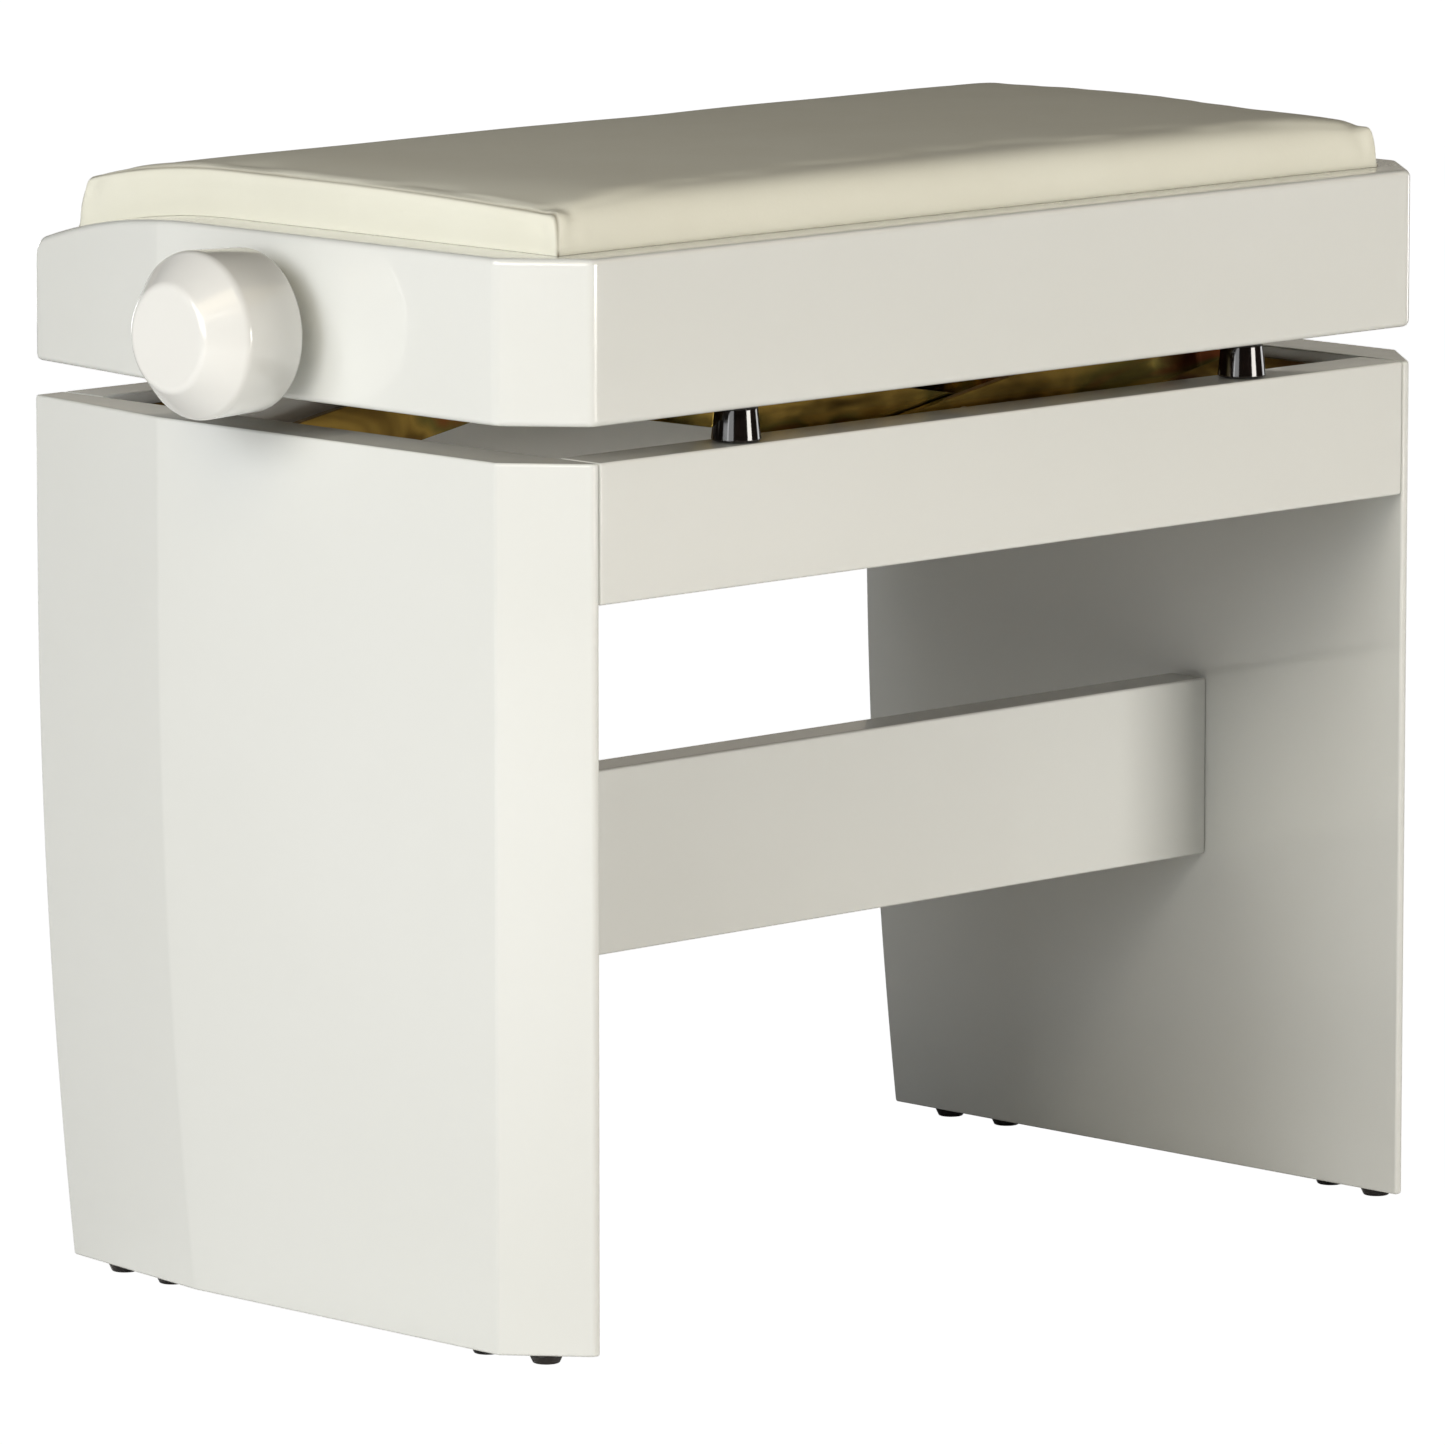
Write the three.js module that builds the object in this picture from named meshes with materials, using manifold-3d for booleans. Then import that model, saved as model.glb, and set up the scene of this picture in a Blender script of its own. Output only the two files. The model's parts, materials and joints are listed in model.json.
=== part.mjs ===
// Height-adjustable piano bench: two lacquered side panels, aprons and a low stretcher carry
// a seat frame that a pair of scissor arms raises when the spindle between the knobs is turned.
// Millimetres, +Z up, +X along the bench, +Y to its back. The origin is on the floor under
// the middle of the bench, and the seat is at its lowest.
import * as THREE from 'three';
import { mergeVertices } from 'three/addons/utils/BufferGeometryUtils.js';
import Module from 'manifold-3d';

const wasm = await Module();
wasm.setup();

// ---- Driving dimensions ----
const GAP = 0.3;                // between pieces that touch

const HALF_LENGTH = 270.75;     // side panels and seat frame, outside
const HALF_DEPTH = 164.2;
const INNER_X = 241.5;          // inner faces of the side panels and of the seat's end boards
const BEVEL_X = 25.55;          // front bevel, along X
const BEVEL_Y = 30.6;           // front bevel, along Y
const FACET_Y = 71.6;           // where the rear facet starts
const FACET_X = 13.55;          // how far the rear facet runs in
const BOARD = 24.7;             // thickness of the aprons and the seat's long boards

const GLIDE_H = 4;
const PANEL_TOP = GLIDE_H + 368;
const REAR_CURVE_TOP = GLIDE_H + 290;
const REAR_CURVE = 4200;        // the rear edge runs in by height squared over this
const APRON_BOTTOM = GLIDE_H + 309.8;
const STRETCHER = { front: -49.1, back: -28, bottom: GLIDE_H + 138.2, top: GLIDE_H + 217.1 };

const SEAT_GAP = 14.7;          // lowest seat frame above the side panels
const SEAT_BOTTOM = PANEL_TOP + SEAT_GAP;
const SEAT_TOP = SEAT_BOTTOM + 68.5;
const DROP_START = 50;          // behind this the seat's top rolls down
const DROP_CURVE = 758;
const PANEL_PLY = 9;

const GLIDE = { y: [-143, -112, 85, 118], topRadius: 7, bottomRadius: 5.5 };
const BUFFER = { x: 152, bottomRadius: 10.5, topRadius: 9 };

const CUSHION = { middleX: -3, halfX: 247, front: -148, back: 146, wall: 17, crown: 7, roll: 52,
  bulge: 2.5 };

const PIVOT_X = 215;            // scissor pivots from the middle, with the seat lowest
const LOWER_PIVOT_Z = 326;
const UPPER_PIVOT_Z = 400;
const LIFT = 90;
const ARM = { width: 26, thick: 4, outerY: 131, innerY: 125 };
const ROD_R = 5;
const HOLE_PLAY = 0.35;         // round a rod that turns in a hole
const LINK_PLAY = 1.2;          // round a rod in a slot or in a crossing arm

const SHEET = 3;                // bracket steel
const FLANGE = 62;              // how far a bracket's flanges reach along the bench
const BEND_R = 3;
const BASE_BRACKET = { bottom: 314.6, top: 367 };
const SEAT_BRACKET = { bottom: 390, top: 430 };

const SPINDLE_Z = SEAT_BOTTOM + 29.3;
const SPINDLE_R = 6;
const KNOB = { back: 13, crease: 43.5, face: 58, backR: 34.1, rimR: 35, faceR: 21.8, hubR: 13 };
const BUSHING_R = 10;
const SCREW = { headR: 4, headH: 2.6, shankR: 2, shank: 14 };

// ---- Derived dimensions ----
const SPAN = 2 * PIVOT_X;
const RISE = UPPER_PIVOT_Z - LOWER_PIVOT_Z;
const ARM_LENGTH = Math.hypot(SPAN, RISE);
const ARM_ANGLE = Math.atan2(RISE, SPAN);
const SLIDE = SPAN - Math.sqrt(ARM_LENGTH ** 2 - (RISE + LIFT) ** 2);
const CENTRE_Z = (LOWER_PIVOT_Z + UPPER_PIVOT_Z) / 2;
const BOARD_INNER_Y = HALF_DEPTH - BOARD;

// ---- Materials ----
function paint(color, roughness, metalness = 0) {
  return new THREE.MeshStandardMaterial({ color, roughness, metalness });
}
const lacquer = paint(0xebece4, 0.15);
const leatherette = paint(0xe0ddc8, 0.5);
const zinc = paint(0x6e5a1e, 0.35, 0.9);
const steel = paint(0x8c8c88, 0.35, 1);
const brass = paint(0xb08a3e, 0.35, 1);
const rubber = paint(0x15110e, 0.3);
const plywood = paint(0xc9a878, 0.7);
const knobGloss = paint(0xefefe8, 0.12);

// ---- Solids ----
function solid(geometry) {
  const bare = geometry.clone();
  bare.deleteAttribute('normal');
  bare.deleteAttribute('uv');
  const merged = mergeVertices(bare, 1e-4);
  return new wasm.Manifold(new wasm.Mesh({
    numProp: 3,
    vertProperties: new Float32Array(merged.attributes.position.array),
    triVerts: new Uint32Array(merged.index.array),
  }));
}

function geometryOf(manifold) {
  const mesh = manifold.getMesh();
  const geometry = new THREE.BufferGeometry();
  geometry.setAttribute('position', new THREE.BufferAttribute(mesh.vertProperties, 3));
  geometry.setIndex(new THREE.BufferAttribute(mesh.triVerts, 1));
  return geometry;
}

function cut(geometry, tools) {
  const result = tools.reduce((body, tool) => body.subtract(solid(tool)), solid(geometry));
  return geometryOf(result);
}

function common(geometry, other) {
  return geometryOf(solid(geometry).intersect(solid(other)));
}

function box(x0, x1, y0, y1, z0, z1) {
  const geometry = new THREE.BoxGeometry(x1 - x0, y1 - y0, z1 - z0);
  return geometry.translate((x0 + x1) / 2, (y0 + y1) / 2, (z0 + z1) / 2);
}

function outline(points) {
  return new THREE.Shape(points.map(([u, v]) => new THREE.Vector2(u, v)));
}

function extrude(shape, depth) {
  return new THREE.ExtrudeGeometry(shape, { depth, bevelEnabled: false, curveSegments: 8 });
}

// A profile in (y, z), swept from x0 to x1.
function sweepX(shape, x0, x1) {
  const axes = new THREE.Matrix4().makeBasis(
    new THREE.Vector3(0, 1, 0), new THREE.Vector3(0, 0, 1), new THREE.Vector3(1, 0, 0));
  return extrude(shape, x1 - x0).applyMatrix4(axes).translate(x0, 0, 0);
}

// An outline in (x, z), swept from y0 to y1.
function sweepY(shape, y0, y1) {
  return extrude(shape, y1 - y0).rotateX(Math.PI / 2).translate(0, y1, 0);
}

// A rod, boss or drilling along a row axis, from one end to the other.
function rod(axis, radius, from, to, segments = 20) {
  const geometry = new THREE.CylinderGeometry(radius, radius, to - from, segments);
  geometry.translate(0, (from + to) / 2, 0);
  if (axis === 'x') geometry.rotateZ(-Math.PI / 2);
  if (axis === 'z') geometry.rotateX(Math.PI / 2);
  return geometry;
}

// A turned piece: its profile is (radius, distance along the row axis).
function turned(axis, profile, segments) {
  const points = profile.map(([r, along]) => new THREE.Vector2(r, along));
  const geometry = new THREE.LatheGeometry(points, segments);
  if (axis === 'x') geometry.rotateZ(-Math.PI / 2);
  if (axis === 'z') geometry.rotateX(Math.PI / 2);
  return geometry;
}

// Convex sections of equal point count, one above the other.
function loft(sections) {
  const count = sections[0].length;
  const positions = sections.flat(2);
  const indices = [];
  for (let level = 0; level + 1 < sections.length; level += 1) {
    for (let i = 0; i < count; i += 1) {
      const a = level * count + i;
      const b = level * count + ((i + 1) % count);
      indices.push(a, b, b + count, a, b + count, a + count);
    }
  }
  const last = (sections.length - 1) * count;
  for (let i = 1; i + 1 < count; i += 1) {
    indices.push(0, i + 1, i, last, last + i, last + i + 1);
  }
  const geometry = new THREE.BufferGeometry();
  geometry.setAttribute('position', new THREE.Float32BufferAttribute(positions, 3));
  geometry.setIndex(indices);
  return geometry;
}

function rounded(width, height, radius, x = 0, y = 0) {
  const shape = new THREE.Shape();
  const [w, h] = [width / 2 - radius, height / 2 - radius];
  shape.absarc(x + w, y - h, radius, -Math.PI / 2, 0);
  shape.absarc(x + w, y + h, radius, 0, Math.PI / 2);
  shape.absarc(x - w, y + h, radius, Math.PI / 2, Math.PI);
  shape.absarc(x - w, y - h, radius, Math.PI, 1.5 * Math.PI);
  return shape;
}

// ---- The model ----
const bench = new THREE.Group();

function add(name, geometry, material) {
  const mesh = new THREE.Mesh(geometry, material);
  mesh.name = name;
  bench.add(mesh);
  return mesh;
}

const SIDES = [['left', -1], ['right', 1]];
const LONG_SIDES = [['front', -1], ['rear', 1]];

// Plan of a side panel or of the seat's end board, run in at the back by `inset`.
function endPlan(sign, inset = 0) {
  const back = HALF_DEPTH - inset;
  const plan = [
    [INNER_X, -HALF_DEPTH],
    [HALF_LENGTH - BEVEL_X, -HALF_DEPTH],
    [HALF_LENGTH, -HALF_DEPTH + BEVEL_Y],
    [HALF_LENGTH, FACET_Y - inset],
    [HALF_LENGTH - FACET_X, back],
    [INNER_X, back],
  ];
  const points = plan.map(([x, y]) => [sign * x, y]);
  return sign > 0 ? points : points.reverse();
}

function sidePanel(sign) {
  const steps = 10;
  const heights = [];
  for (let i = 0; i <= steps; i += 1) heights.push(GLIDE_H + (REAR_CURVE_TOP - GLIDE_H) * i / steps);
  heights.push(PANEL_TOP);
  return loft(heights.map((z) => {
    const inset = Math.max(0, REAR_CURVE_TOP - z) ** 2 / REAR_CURVE;
    return endPlan(sign, inset).map(([x, y]) => [x, y, z]);
  }));
}

// Height of the seat frame's top: level in front, rolled down at the back.
function seatTop(y) {
  return SEAT_TOP - Math.max(0, y - DROP_START) ** 2 / DROP_CURVE;
}

// Profile in (y, z) between the frame's top and a lower line.
function topProfile(front, back, lower) {
  const steps = 8;
  const points = [[front, lower(front)], [front, SEAT_TOP], [DROP_START, SEAT_TOP]];
  for (let i = 1; i <= steps; i += 1) {
    const y = DROP_START + (back - DROP_START) * i / steps;
    points.push([y, seatTop(y)]);
  }
  for (let i = steps; i >= 0; i -= 1) {
    const y = DROP_START + (back - DROP_START) * i / steps;
    points.push([y, lower(y)]);
  }
  return outline(points.filter((p, i) => i === 0 || Math.hypot(p[0] - points[i - 1][0],
    p[1] - points[i - 1][1]) > 1e-6).reverse());
}

const fullProfile = sweepX(topProfile(-HALF_DEPTH, HALF_DEPTH, () => SEAT_BOTTOM),
  -HALF_LENGTH, HALF_LENGTH);

// Screws through the brackets: place of the head's seat, and the way the head faces.
const baseScrews = [];
const seatScrews = [];
for (const [side, sign] of SIDES) {
  for (const [end, facing] of LONG_SIDES) {
    baseScrews.push({ name: `base_bracket_screw_${side}_${end}`, side, axis: 'y', facing: -facing,
      at: [sign * 189, facing * (BOARD_INNER_Y - GAP - SHEET), 352] });
    seatScrews.push({ name: `seat_bracket_screw_${side}_${end}`, side, axis: 'y', facing: -facing,
      at: [sign * 189, facing * (BOARD_INNER_Y - GAP - SHEET), 421] });
    baseScrews.push({ name: `base_web_screw_${side}_${end}`, side, axis: 'x', facing: -sign,
      at: [sign * (INNER_X - GAP - SHEET), facing * 60, 341] });
  }
}

// The drilling for a screw's shank, through the sheet and into the board behind it.
function pilotHole(screw) {
  const along = screw.axis === 'y' ? screw.at[1] : screw.at[0];
  const [from, to] = [along + screw.facing * 5, along - screw.facing * (SCREW.shank + 1)];
  const hole = rod(screw.axis, SCREW.shankR + GAP, Math.min(from, to), Math.max(from, to), 8);
  const shift = screw.axis === 'y' ? [screw.at[0], 0] : [0, screw.at[1]];
  return hole.translate(shift[0], shift[1], screw.at[2]);
}

function screwGeometry(screw) {
  const { headR, headH, shankR, shank } = SCREW;
  const profile = [[0, -shank], [shankR, -shank + 2], [shankR, GAP], [headR, GAP]];
  for (let i = 1; i <= 3; i += 1) {
    const turn = (Math.PI / 2) * i / 3;
    profile.push([headR * Math.cos(turn), GAP + headH * Math.sin(turn)]);
  }
  profile[profile.length - 1][0] = 0;
  const geometry = turned(screw.axis, profile, 10);
  if (screw.facing < 0) geometry.rotateZ(Math.PI);
  return geometry.translate(...screw.at);
}

// Base: side panels, aprons, stretcher
for (const [side, sign] of SIDES) {
  const holes = baseScrews.filter((s) => s.side === side && s.axis === 'x').map(pilotHole);
  add(`${side}_side_panel`, cut(sidePanel(sign), holes), lacquer);
}
for (const [end, facing] of LONG_SIDES) {
  const [y0, y1] = facing < 0 ? [-HALF_DEPTH, -BOARD_INNER_Y] : [BOARD_INNER_Y, HALF_DEPTH];
  const apron = box(-INNER_X + GAP, INNER_X - GAP, y0, y1, APRON_BOTTOM, PANEL_TOP);
  const holes = baseScrews.filter((s) => s.axis === 'y' && s.facing === -facing).map(pilotHole);
  add(`${end}_apron`, cut(apron, holes), lacquer);
}
add('stretcher', box(-INNER_X + GAP, INNER_X - GAP, STRETCHER.front, STRETCHER.back,
  STRETCHER.bottom, STRETCHER.top), lacquer);

// Middle of the side panel's thickness at its foot, for the glides.
function footMiddle(y) {
  const inset = (REAR_CURVE_TOP - GLIDE_H) ** 2 / REAR_CURVE;
  const crease = FACET_Y - inset;
  let outside = HALF_LENGTH;
  if (y < -HALF_DEPTH + BEVEL_Y) {
    outside -= BEVEL_X * (-HALF_DEPTH + BEVEL_Y - y) / BEVEL_Y;
  } else if (y > crease) {
    outside -= FACET_X * (y - crease) / (HALF_DEPTH - FACET_Y);
  }
  return (outside + INNER_X) / 2;
}

for (const [side, sign] of SIDES) {
  GLIDE.y.forEach((y, i) => {
    const { topRadius, bottomRadius } = GLIDE;
    const top = GLIDE_H - GAP;
    const glide = turned('z', [[0, 0], [bottomRadius - 0.6, 0], [bottomRadius, 0.6],
      [topRadius, top], [0, top]], 16);
    add(`glide_${side}_${i + 1}`, glide.translate(sign * footMiddle(y), y, 0), rubber);
  });
}

for (const [side, sign] of SIDES) {
  for (const [end, facing] of LONG_SIDES) {
    const height = SEAT_GAP - 2 * GAP;
    const buffer = turned('z', [[0, 0], [BUFFER.bottomRadius, 0], [BUFFER.topRadius, height - 1],
      [BUFFER.topRadius - 1, height], [0, height]], 20);
    buffer.translate(sign * BUFFER.x, facing * (HALF_DEPTH - BOARD / 2), PANEL_TOP + GAP);
    add(`stop_buffer_${side}_${end}`, buffer, rubber);
  }
}

// Seat frame
const spindleBore = rod('x', BUSHING_R + GAP, -HALF_LENGTH - 5, HALF_LENGTH + 5, 24)
  .translate(0, 0, SPINDLE_Z);
for (const [side, sign] of SIDES) {
  const plan = extrude(outline(endPlan(sign)), SEAT_TOP - SEAT_BOTTOM).translate(0, 0, SEAT_BOTTOM);
  add(`seat_${side}_board`, cut(common(plan, fullProfile), [spindleBore]), lacquer);
}
for (const [end, facing] of LONG_SIDES) {
  const [y0, y1] = facing < 0 ? [-HALF_DEPTH, -BOARD_INNER_Y] : [BOARD_INNER_Y, HALF_DEPTH];
  const block = box(-INNER_X + GAP, INNER_X - GAP, y0, y1, SEAT_BOTTOM, SEAT_TOP);
  const holes = seatScrews.filter((s) => s.facing === -facing).map(pilotHole);
  add(`seat_${end}_board`, cut(common(block, fullProfile), holes), lacquer);
}
add('seat_panel', sweepX(topProfile(-BOARD_INNER_Y + GAP, BOARD_INNER_Y - GAP,
  (y) => seatTop(y) - PANEL_PLY), -INNER_X + GAP, INNER_X - GAP), plywood);

// Cushion: a level plateau that rolls down to an upright wall all round.
function cushionGeometry() {
  const { middleX, halfX, front, back, wall, crown, roll, bulge } = CUSHION;
  const [columns, rows] = [20, 14];
  const middleY = (front + back) / 2;
  const halfY = (back - front) / 2;
  const spread = (i, n) => Math.sin((i / n - 0.5) * Math.PI);
  const positions = [];
  for (const upper of [false, true]) {
    for (let j = 0; j <= rows; j += 1) {
      for (let i = 0; i <= columns; i += 1) {
        const [s, t] = [spread(i, columns), spread(j, rows)];
        const x = middleX + s * (halfX + bulge * (1 - t * t));
        const y = middleY + t * (halfY + bulge * (1 - s * s));
        const edge = Math.min(halfX * (1 - Math.abs(s)), halfY * (1 - Math.abs(t)));
        const rise = Math.min(1, edge / roll);
        const height = wall + crown * Math.sin(rise * Math.PI / 2);
        positions.push(x, y, seatTop(y) + GAP + (upper ? height : 0));
      }
    }
  }
  const layer = (columns + 1) * (rows + 1);
  const at = (i, j, upper) => upper * layer + j * (columns + 1) + i;
  const indices = [];
  const quad = (a, b, c, d) => indices.push(a, b, c, a, c, d);
  for (let j = 0; j < rows; j += 1) {
    for (let i = 0; i < columns; i += 1) {
      quad(at(i, j, 1), at(i + 1, j, 1), at(i + 1, j + 1, 1), at(i, j + 1, 1));
      quad(at(i, j, 0), at(i, j + 1, 0), at(i + 1, j + 1, 0), at(i + 1, j, 0));
    }
  }
  for (let i = 0; i < columns; i += 1) {
    quad(at(i, 0, 0), at(i + 1, 0, 0), at(i + 1, 0, 1), at(i, 0, 1));
    quad(at(i + 1, rows, 0), at(i, rows, 0), at(i, rows, 1), at(i + 1, rows, 1));
  }
  for (let j = 0; j < rows; j += 1) {
    quad(at(0, j + 1, 0), at(0, j, 0), at(0, j, 1), at(0, j + 1, 1));
    quad(at(columns, j, 0), at(columns, j + 1, 0), at(columns, j + 1, 1), at(columns, j, 1));
  }
  const geometry = new THREE.BufferGeometry();
  geometry.setAttribute('position', new THREE.Float32BufferAttribute(positions, 3));
  geometry.setIndex(indices);
  return geometry;
}
add('seat_cushion', cushionGeometry(), leatherette);

// Brackets: sheet steel bent round the inside of an end, with pivot holes or slots
function bracket(sign, { bottom, top }, tools) {
  const outerX = INNER_X - GAP;
  const outerY = BOARD_INNER_Y - GAP;
  const tip = outerX - FLANGE;
  const arc = Math.PI / 2;
  const plan = new THREE.Shape();
  plan.moveTo(tip, -outerY);
  plan.absarc(outerX - BEND_R - SHEET, -outerY + BEND_R + SHEET, BEND_R + SHEET, -arc, 0);
  plan.absarc(outerX - BEND_R - SHEET, outerY - BEND_R - SHEET, BEND_R + SHEET, 0, arc);
  plan.lineTo(tip, outerY);
  plan.lineTo(tip, outerY - SHEET);
  plan.absarc(outerX - SHEET - BEND_R, outerY - SHEET - BEND_R, BEND_R, arc, 0, true);
  plan.absarc(outerX - SHEET - BEND_R, -outerY + SHEET + BEND_R, BEND_R, 0, -arc, true);
  plan.lineTo(tip, -outerY + SHEET);
  const geometry = new THREE.ExtrudeGeometry(plan,
    { depth: top - bottom, bevelEnabled: false, curveSegments: 4 });
  geometry.translate(0, 0, bottom);
  if (sign < 0) geometry.rotateZ(Math.PI);
  return cut(geometry, tools);
}

// A drilling along Y through both flanges: round for a pivot, long for a sliding rod.
function pivotHole(z) {
  return rod('y', ROD_R + HOLE_PLAY, -HALF_DEPTH, HALF_DEPTH).translate(-PIVOT_X, 0, z);
}
function slideSlot(z) {
  const height = 2 * (ROD_R + LINK_PLAY);
  const shape = rounded(SLIDE + height, height, height / 2, PIVOT_X - SLIDE / 2, z);
  return sweepY(shape, -HALF_DEPTH, HALF_DEPTH);
}

for (const [side, sign] of SIDES) {
  const opening = (z) => (sign < 0 ? pivotHole(z) : slideSlot(z));
  const baseHoles = baseScrews.filter((s) => s.side === side).map(pilotHole);
  const seatHoles = seatScrews.filter((s) => s.side === side).map(pilotHole);
  add(`base_bracket_${side}`, bracket(sign, BASE_BRACKET,
    [opening(LOWER_PIVOT_Z), ...baseHoles]), zinc);
  add(`seat_bracket_${side}`, bracket(sign, SEAT_BRACKET,
    [opening(UPPER_PIVOT_Z), spindleBore, ...seatHoles]), zinc);
}
for (const screw of [...baseScrews, ...seatScrews]) {
  add(screw.name, screwGeometry(screw), zinc);
}

// Scissor arms: flat bars, drawn level and turned to their resting slope
function arm(pivotZ, slope, y, centreRadius) {
  const half = ARM.width / 2;
  const shape = rounded(ARM_LENGTH + ARM.width, ARM.width, half - 0.01, ARM_LENGTH / 2, 0);
  const drill = (x, radius) => {
    const hole = new THREE.Path();
    hole.absarc(x, 0, radius, 0, 2 * Math.PI, true);
    shape.holes.push(hole);
  };
  drill(0, ROD_R + HOLE_PLAY);
  drill(ARM_LENGTH / 2, centreRadius);
  drill(ARM_LENGTH, ROD_R + HOLE_PLAY);
  const bar = sweepY(shape, -ARM.thick / 2, ARM.thick / 2);
  return bar.rotateY(-slope).translate(-PIVOT_X, y, pivotZ);
}
for (const [end, facing] of LONG_SIDES) {
  add(`arm_a_${end}`, arm(LOWER_PIVOT_Z, ARM_ANGLE, facing * ARM.outerY,
    ROD_R + HOLE_PLAY), zinc);
  add(`arm_b_${end}`, arm(UPPER_PIVOT_Z, -ARM_ANGLE, facing * ARM.innerY,
    ROD_R + LINK_PLAY), zinc);
}

// Rods across the bench. A headed rod is riveted over outside the arms.
const rodEnd = BOARD_INNER_Y - 2 * GAP;
function plainRod(x, z) {
  return turned('y', [[0, -rodEnd], [ROD_R - 0.5, -rodEnd], [ROD_R, -rodEnd + 0.5],
    [ROD_R, rodEnd - 0.5], [ROD_R - 0.5, rodEnd], [0, rodEnd]], 16).translate(x, 0, z);
}
function headedRod(x, z) {
  const inside = ARM.outerY + ARM.thick / 2 + GAP;
  const headR = 8;
  return turned('y', [[0, -inside - 2.4], [headR - 2, -inside - 2.2], [headR, -inside - 1],
    [headR, -inside], [ROD_R, -inside], [ROD_R, inside], [headR, inside], [headR, inside + 1],
    [headR - 2, inside + 2.2], [0, inside + 2.4]], 16).translate(x, 0, z);
}
add('lower_pivot_rod', plainRod(-PIVOT_X, LOWER_PIVOT_Z), steel);
add('upper_pivot_rod', plainRod(-PIVOT_X, UPPER_PIVOT_Z), steel);
add('lower_slide_rod', plainRod(PIVOT_X, LOWER_PIVOT_Z), steel);
add('upper_slide_rod', plainRod(PIVOT_X, UPPER_PIVOT_Z), steel);
add('centre_rod', headedRod(0, CENTRE_Z), steel);

// Drive: the nut on the spindle pulls the drive bar, and its forks pull the upper slide rod
const DRIVE = { front: 192, back: 200, halfY: 122.7, bottom: 394, top: 427, nutLength: 20, nutR: 15 };
const driveSpindleHole = rod('x', SPINDLE_R + 1, 0, 2 * PIVOT_X, 20).translate(0, 0, SPINDLE_Z);
add('drive_bar', cut(box(DRIVE.front, DRIVE.back, -DRIVE.halfY, DRIVE.halfY, DRIVE.bottom,
  DRIVE.top), [driveSpindleHole]), zinc);
const nutBack = DRIVE.front - GAP;
add('drive_nut', turned('x', [[SPINDLE_R + HOLE_PLAY, nutBack - DRIVE.nutLength],
  [DRIVE.nutR - 4, nutBack - DRIVE.nutLength], [DRIVE.nutR - 4, nutBack - 6],
  [DRIVE.nutR, nutBack - 6], [DRIVE.nutR, nutBack], [SPINDLE_R + HOLE_PLAY, nutBack],
  [SPINDLE_R + HOLE_PLAY, nutBack - DRIVE.nutLength]], 20).translate(0, 0, SPINDLE_Z), brass);
for (const [end, facing] of LONG_SIDES) {
  const play = ROD_R + LINK_PLAY;
  const [forkBack, forkTop, forkBottom] = [PIVOT_X + 13, 412, 388];
  const plate = rounded(forkBack - DRIVE.front, forkTop - forkBottom, 4,
    (forkBack + DRIVE.front) / 2, (forkTop + forkBottom) / 2);
  plate.holes.push(new THREE.Path(rounded(2 * play + 6, 2 * play, play - 0.01, PIVOT_X,
    UPPER_PIVOT_Z).getPoints(5).reverse()));
  const y = facing * (DRIVE.halfY + GAP + SHEET / 2);
  add(`drive_fork_${end}`, sweepY(plate, y - SHEET / 2, y + SHEET / 2), zinc);
}

// Spindle with a knob and a collar at each end, in flanged bushings
const spindleEnd = HALF_LENGTH + 46;
add('spindle', rod('x', SPINDLE_R, -spindleEnd, spindleEnd, 20).translate(0, 0, SPINDLE_Z), steel);
for (const [side, sign] of SIDES) {
  const place = (geometry) => {
    if (sign < 0) geometry.rotateZ(Math.PI);
    return geometry.translate(0, 0, SPINDLE_Z);
  };
  const at = (distance) => HALF_LENGTH + distance;
  const bore = SPINDLE_R + HOLE_PLAY;
  add(`knob_${side}`, place(turned('x', [[0, at(48)], [bore, at(48)],
    [bore, at(3)], [KNOB.hubR, at(3)], [KNOB.hubR, at(KNOB.back)], [KNOB.backR - 1, at(KNOB.back)],
    [KNOB.backR, at(KNOB.back + 1.5)], [KNOB.rimR, at(KNOB.crease - 2)],
    [KNOB.rimR - 0.6, at(KNOB.crease + 0.8)], [KNOB.faceR + 1.2, at(KNOB.face - 1)],
    [KNOB.faceR - 1, at(KNOB.face)], [0, at(KNOB.face)]], 36)), knobGloss);
  add(`spindle_bushing_${side}`, place(turned('x', [[bore, INNER_X + 1], [BUSHING_R, INNER_X + 1],
    [BUSHING_R, at(GAP)], [BUSHING_R + 5, at(GAP)], [BUSHING_R + 5, at(2)], [bore, at(2)],
    [bore, INNER_X + 1]], 20)), brass);
  const collarX = INNER_X - SHEET - 2;
  add(`spindle_collar_${side}`, place(turned('x', [[bore, collarX - 8], [BUSHING_R + 1, collarX - 8],
    [BUSHING_R + 1, collarX], [bore, collarX], [bore, collarX - 8]], 20)), steel);
}

export default bench;
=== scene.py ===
"""Looks of the height-adjustable piano bench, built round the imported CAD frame. Metres, +Z up."""
import json
import math

import bmesh
import bpy
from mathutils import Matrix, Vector, kdtree, noise

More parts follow.
